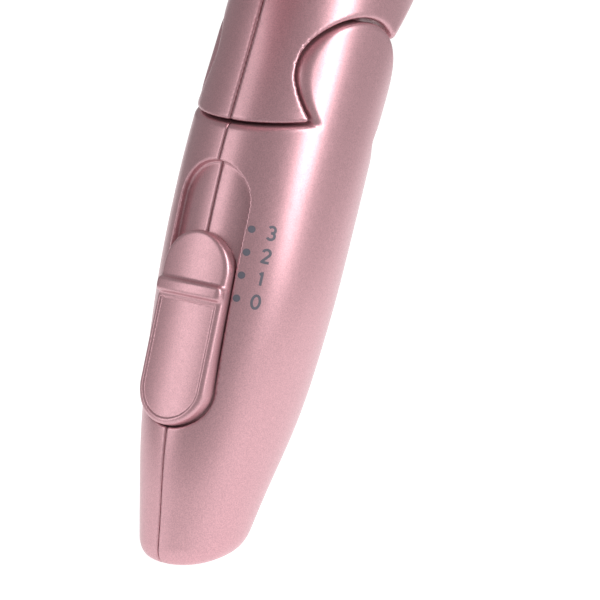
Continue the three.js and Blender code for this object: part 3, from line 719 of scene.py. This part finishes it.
for word, side in (("left", 1), ("right", -1)):
    y0, y1 = sides_of(side, 20.2)
    low, high = (-52, y0, -104), (18, y1, 17)
    shell = mesh_field("grip_" + word, half(handle_field, side), low, high, GRIP_CELL * COARSE)
    stand_in(shell, "handle_shell_" + word)
    y0, y1 = sides_of(side, 38.4)
    low, high = (-57, y0, -17), (93, y1, BARREL_UP + 39)
    shell = mesh_field("barrel_" + word, half(body_field, side), low, high, BODY_CELL * COARSE)
    stand_in(shell, "body_shell_" + word)

PIECES = (  # name, field, box and cell of each, and the node it stands for
    ("thumb_slide", knob_field, (-53, -10, -78), (-8, 10, -26), KNOB_CELL, "switch_knob"),
    (
        "rear_grille",
        grille_field,
        (-72, -36, BARREL_UP - 36),
        (-51, 36, BARREL_UP + 36),
        END_CELL,
        "intake_grille",
    ),
    (
        "front_ring",
        ring_field,
        (85, -30, BARREL_UP - 30),
        (106.5, 30, BARREL_UP + 30),
        END_CELL,
        "outlet_ring",
    ),
)
for name, field, low, high, cell, node in PIECES:
    stand_in(mesh_field(name, field, low, high, cell * COARSE), node)

# ---- Position marks ------------------------------------------------------------------------

MARK_ANGLE = math.radians(30)  # of the dots round the handle, from its back towards the right side
MARK_STEP = TRAVEL / SWITCH_STEPS
DOT_RADIUS = 0.82
DOT_SIDES = 32
DIGIT_HEIGHT = 2.9
DIGIT_ACROSS = 4.3  # from the dots to the middle of the digits
STROKE = 0.6
STROKE_PART = 0.4
INK = 0.03  # thickness of the print
INK_ROOT = 0.05  # how far it reaches below the surface
SIDE_RADIUS = 20.5  # of the handle at the marks


def bow(width, height, middle, start, end, points=14):
    """Part of an ellipse about a point above or below the digit's middle."""
    return [
        (width * math.cos(a), middle + height * math.sin(a)) for a in np.linspace(start, end, points)
    ]


BOX_HEIGHT = 1.6
DIGITS = {  # line of each digit in a box 1 wide and 1.6 high, from its middle
    "0": bow(0.5, 0.8, 0, math.pi / 2, -1.5 * math.pi, 25),
    "1": [(-0.28, 0.5), (0.05, 0.8), (0.05, -0.8)],
    "2": bow(0.45, 0.42, 0.36, math.pi * 0.95, -0.7) + [(-0.46, -0.8), (0.5, -0.8)],
    "3": bow(0.42, 0.40, 0.38, 2.6, -math.pi / 2) + bow(0.46, 0.42, -0.38, math.pi / 2, -2.6),
}


def on_side(across, up):
    """A point of the handle's right side and its normal, in millimetres from the lowest dot."""
    down = KNOB_MIDDLE - KNOB_LENGTH / 2 + RIDGE_DOWN - up
    angle = MARK_ANGLE + across / SIDE_RADIUS
    low, high = 5.0, 30.0
    direction = np.array([-math.cos(angle), -math.sin(angle)])
    for _ in range(30):
        middle = (low + high) / 2
        hx = float(grip_middle(down)) + direction[0] * middle
        value = float(grip(np.array(hx), np.array(direction[1] * middle), np.array(-down)))
        low, high = (middle, high) if value < 0 else (low, middle)
    x, z = from_handle(float(grip_middle(down)) + direction[0] * low, -down)
    normal_x, normal_z = from_handle(direction[0], 0)
    return np.array([x, direction[1] * low, z]), np.array([normal_x, direction[1], normal_z])


def print_strip(points, width):
    """Vertices and faces of a stroke that follows a line of (across, up) points."""
    line = np.array(points)
    dense = [line[0]]
    for start, end in zip(line[:-1], line[1:]):
        parts = max(1, int(np.ceil(np.linalg.norm(end - start) / STROKE_PART)))
        dense += [start + (end - start) * (i + 1) / parts for i in range(parts)]
    line = np.array(dense)
    along = np.gradient(line, axis=0)
    along /= np.maximum(np.linalg.norm(along, axis=1), 1e-9)[:, None]
    out = np.stack([-along[:, 1], along[:, 0]], 1) * width / 2
    rows = []
    for point, side in zip(line, out):
        row = []
        for place in (point + side, point - side):
            at, normal = on_side(*place)
            row += [at + normal * INK, at - normal * INK_ROOT]
        rows.append(row)
    vertex = [v for row in rows for v in row]
    faces = [(0, 2, 3, 1)]
    for i in range(len(rows) - 1):
        a = i * 4
        b = a + 4
        faces += [
            (a + start, b + start, b + end, a + end) for start, end in ((0, 2), (2, 3), (3, 1), (1, 0))
        ]
    last = (len(rows) - 1) * 4
    faces.append((last, last + 1, last + 3, last + 2))
    return vertex, faces


def print_dot(across, up, radius):
    middle, normal = on_side(across, up)
    rim = [
        on_side(across + radius * math.cos(a), up + radius * math.sin(a))
        for a in np.linspace(0, 2 * math.pi, DOT_SIDES, endpoint=False)
    ]
    vertex = [middle + normal * (INK + 0.01)]
    vertex += [p + n * INK for p, n in rim]
    vertex += [p - n * INK_ROOT for p, n in rim]
    faces = []
    for i in range(DOT_SIDES):
        top = 1 + i
        top_next = 1 + (i + 1) % DOT_SIDES
        faces += [(0, top, top_next), (top, top + DOT_SIDES, top_next + DOT_SIDES, top_next)]
    faces.append(tuple(range(1 + DOT_SIDES, 1 + 2 * DOT_SIDES)))
    return vertex, faces


def marks():
    """Four dots with the numbers 0 to 3 beside them, the lowest level with the ridge at rest."""
    vertex = []
    faces = []
    size = DIGIT_HEIGHT / BOX_HEIGHT
    for step, digit in enumerate("0123"):
        up = step * MARK_STEP
        line = [(DIGIT_ACROSS + sx * size, up + sy * size) for sx, sy in DIGITS[digit]]
        for points, sides in (print_dot(0, up, DOT_RADIUS), print_strip(line, STROKE)):
            base = len(vertex)
            vertex.extend(points)
            faces.extend([tuple(base + i for i in face) for face in sides])
    piece = make_mesh("position_marks", np.array(vertex), faces, smooth=False)
    piece.data.materials.append(PRINT)
    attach(piece, "handle")


marks()

# ---- Camera, floor and light ---------------------------------------------------------------

CAMERA_TURN = math.radians(56)  # round the handle, from straight at its right side towards its back
CAMERA_ROLL = math.radians(11.6)
CAMERA_FAR = 800.0
SENSOR = 36.0
VIEW_WIDTH = 136.4  # millimetres of the handle's surroundings that the image is wide
VIEW_MIDDLE = (1.25, -50.3)  # right of and above the hinge

handle_up = np.array([math.sin(LEAN), 0, math.cos(LEAN)])
handle_front = np.array([math.cos(LEAN), 0, -math.sin(LEAN)])
side_axis = np.array([0, 1.0, 0])
sight = math.sin(CAMERA_TURN) * handle_front + math.cos(CAMERA_TURN) * side_axis
level = math.cos(CAMERA_TURN) * handle_front - math.sin(CAMERA_TURN) * side_axis
right = level * math.cos(CAMERA_ROLL) + handle_up * math.sin(CAMERA_ROLL)
up = handle_up * math.cos(CAMERA_ROLL) - level * math.sin(CAMERA_ROLL)
target = HINGE + right * VIEW_MIDDLE[0] + up * VIEW_MIDDLE[1]

camera_data = bpy.data.cameras.new("camera")
camera = bpy.data.objects.new("camera", camera_data)
bpy.context.scene.collection.objects.link(camera)
bpy.context.scene.camera = camera
camera_data.sensor_width = SENSOR
camera_data.lens = SENSOR * CAMERA_FAR / VIEW_WIDTH
camera_data.clip_start = 0.01
camera_data.clip_end = 30
pose = Matrix.Identity(4)
for i, axis in enumerate((right, up, -sight)):
    pose.col[i] = (*axis, 0)
pose.col[3] = (*((target - sight * CAMERA_FAR) / 1000), 1)
camera.matrix_world = pose


def area_light(name, offset, power, width, height):
    """A soft light, placed right, up and towards the camera from the handle, in metres."""
    data = bpy.data.lights.new(name, "AREA")
    data.shape = "RECTANGLE"
    data.size = width
    data.size_y = height
    data.energy = power
    lamp = bpy.data.objects.new(name, data)
    bpy.context.scene.collection.objects.link(lamp)
    middle = Vector(target / 1000)
    lamp.location = middle + Vector(right * offset[0] + up * offset[1] - sight * offset[2])
    lamp.rotation_euler = (middle - lamp.location).to_track_quat("-Z", "Y").to_euler()


area_light("key", (0.72, 0.3, 0.58), 6.8, 0.3, 0.9)
area_light("fill", (-0.9, 0.1, 0.45), 2.4, 0.4, 1.0)

world = bpy.data.worlds.new("studio")
bpy.context.scene.world = world
world.use_nodes = True
sky = world.node_tree.nodes["Background"]
sky.inputs["Color"].default_value = (1, 1, 1, 1)
sky.inputs["Strength"].default_value = 0.34


FLOOR_REACH = 6.0
FLOOR_DROP = 0.0006  # below the foot, in metres
floor_mesh = bpy.data.meshes.new("floor")
corners = [(FLOOR_REACH * x, FLOOR_REACH * y, 0) for x, y in ((-1, -1), (1, -1), (1, 1), (-1, 1))]
floor_mesh.from_pydata(corners, [], [(0, 1, 2, 3)])
floor = bpy.data.objects.new("floor", floor_mesh)
floor.location = (target[0] / 1000, target[1] / 1000, -FLOOR_DROP)
floor.rotation_euler.z = math.atan2(sight[1], sight[0]) - math.pi / 2
bpy.context.scene.collection.objects.link(floor)
painted_glow_paper = new_material("painted_glow_paper", (0.5, 0.5, 0.5), 0.95)
vary_color(painted_glow_paper, noise(painted_glow_paper, 900, 2.0), (0.48, 0.48, 0.48), (0.5, 0.5, 0.5))
shader_of(painted_glow_paper).inputs["Specular IOR Level"].default_value = 0.0
shader_of(painted_glow_paper).inputs["Emission Color"].default_value = (1, 1, 1, 1)
# Painted light: the floor glows strongly in the wedge before the camera and faintly elsewhere, which
# washes out the shadow at the foot.
painted_light_wedge(painted_glow_paper, 0.9, 0.14)
floor_mesh.materials.append(painted_glow_paper)

bpy.context.scene.view_settings.view_transform = "Standard"
